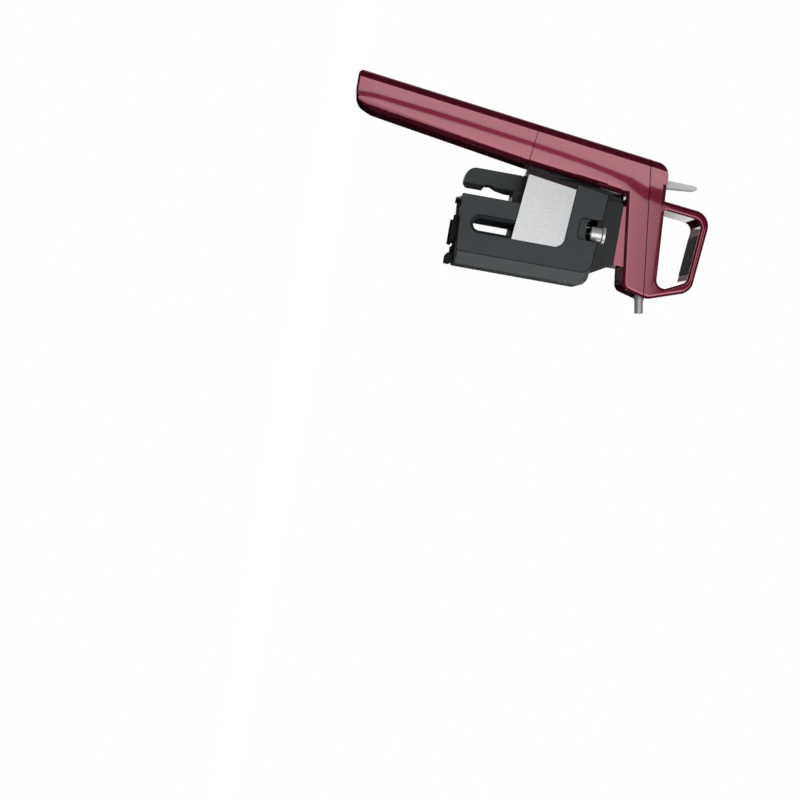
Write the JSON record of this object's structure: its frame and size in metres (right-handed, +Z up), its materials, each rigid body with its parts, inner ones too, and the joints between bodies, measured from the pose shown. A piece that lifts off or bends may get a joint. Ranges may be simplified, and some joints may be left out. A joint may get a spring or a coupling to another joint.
{
  "type": "wine preservation dispenser",
  "caption": "Bottle-mounted wine dispenser: clamp jaws, sliding needle head, finger loop, trigger, spout and screw-on gas capsule cup.",
  "frame": {"origin": "on the needle's axis, at the top edge of the neck clamp, 0.35 mm under the gasket that meets the bottle's mouth", "axes": "+Z up along the needle and the bottle's neck, +X to the spout, +Y to the right-hand jaw; the bottle leaves towards -Z"},
  "size_m": [0.1065, 0.0506, 0.2076],
  "materials": {
    "lacquered_metal": "burgundy metallic lacquer under clear coat",
    "body_plastic": "dark grey soft-touch",
    "satin_plate": "satin silver",
    "rubber": "black",
    "chrome": "polished",
    "stainless_steel": "drawn",
    "aluminium": "anodised satin",
    "brass": "machined",
    "white_acetal": "self-lubricating plastic"
  },
  "bodies": {
    "base": {"clamp_frame": "body_plastic", "slide_rail": "aluminium", "rail_screw_1": "stainless_steel", "rail_screw_2": "stainless_steel", "rail_stop": "stainless_steel", "needle_bushing": "white_acetal", "mouth_gasket": "rubber", "lever_pin": "chrome", "lever_spring": "stainless_steel", "saddle_strip": "stainless_steel", "saddle_pad": "rubber", "hinge_pin_right": "chrome", "hinge_pin_left": "chrome", "hinge_sleeve_right": "chrome", "hinge_sleeve_left": "chrome", "jaw_spring_right": "stainless_steel", "jaw_spring_left": "stainless_steel"},
    "head": {"head_shell": "lacquered_metal", "top_cover": "lacquered_metal", "loop_grip": "rubber", "regulator_body": "brass", "threaded_collar": "brass", "piercing_pin": "stainless_steel", "capsule_seal": "rubber", "gas_line": "stainless_steel", "valve_block": "aluminium", "valve_screw_1": "stainless_steel", "valve_screw_2": "stainless_steel", "cover_screw_1": "stainless_steel", "cover_screw_2": "stainless_steel", "cover_screw_3": "stainless_steel", "cover_screw_4": "stainless_steel", "needle": "stainless_steel", "needle_hub": "stainless_steel", "hub_ring": "rubber", "spout_tube": "stainless_steel", "trigger_pin": "chrome", "rod_seal": "rubber", "valve_spring": "stainless_steel", "carriage": "body_plastic", "carriage_liner": "white_acetal"},
    "jaw_right": {"jaw_shell_right": "body_plastic", "jaw_pad_right": "rubber", "badge_plate_right": "satin_plate"},
    "jaw_left": {"jaw_shell_left": "body_plastic", "jaw_pad_left": "rubber", "badge_plate_left": "satin_plate"},
    "lever": {"lever": "body_plastic"},
    "trigger": {"trigger": "chrome"},
    "valve": {"valve_rod": "stainless_steel"},
    "capsule_carrier": {"gas_capsule": "stainless_steel", "cup_pad": "rubber"},
    "cup": {"cup_shell": "lacquered_metal", "cup_core": "body_plastic"}
  },
  "joints": [
    {"name": "head_slide", "type": "slide", "parent": "base", "child": "head", "axis": [0, 0, 1], "range_m": [0, 0.053]},
    {"name": "lever_squeeze", "type": "hinge", "parent": "base", "child": "lever", "pos_m": [-0.0285, 0, -0.0408], "axis": [0, -1, 0], "range_deg": [0, 8], "stiffness_Nm_per_rad": 2},
    {"name": "jaw_right_open", "type": "hinge", "parent": "base", "child": "jaw_right", "pos_m": [-0.0075, 0.0194, -0.0308], "axis": [0, 0, 1], "range_deg": [0, 8]},
    {"name": "jaw_left_open", "type": "hinge", "parent": "base", "child": "jaw_left", "pos_m": [-0.0075, -0.0194, -0.0308], "axis": [0, 0, -1], "range_deg": [0, 8]},
    {"name": "trigger_press", "type": "hinge", "parent": "head", "child": "trigger", "pos_m": [-0.0443, 0, 0.0217], "axis": [0, 1, 0], "range_deg": [0, 10], "stiffness_Nm_per_rad": 0.5},
    {"name": "valve_open", "type": "slide", "parent": "head", "child": "valve", "axis": [1, 0, 0], "range_m": [0, 0.0017]},
    {"name": "cup_travel", "type": "slide", "parent": "head", "child": "capsule_carrier", "axis": [-0.1219, 0, -0.9925], "range_m": [0, 0.004]},
    {"name": "cup_turn", "type": "hinge", "parent": "capsule_carrier", "child": "cup", "pos_m": [-0.05817, 0, -0.09076], "axis": [-0.1219, 0, -0.9925], "range_deg": [0, 720]}
  ],
  "couplings": [
    {"joint": "jaw_right_open", "follows": "lever_squeeze", "ratio": 1},
    {"joint": "jaw_left_open", "follows": "lever_squeeze", "ratio": 1},
    {"joint": "valve_open", "follows": "trigger_press", "m_per_rad": 0.0095},
    {"joint": "cup_turn", "follows": "cup_travel", "rad_per_m": 3141.6}
  ]
}
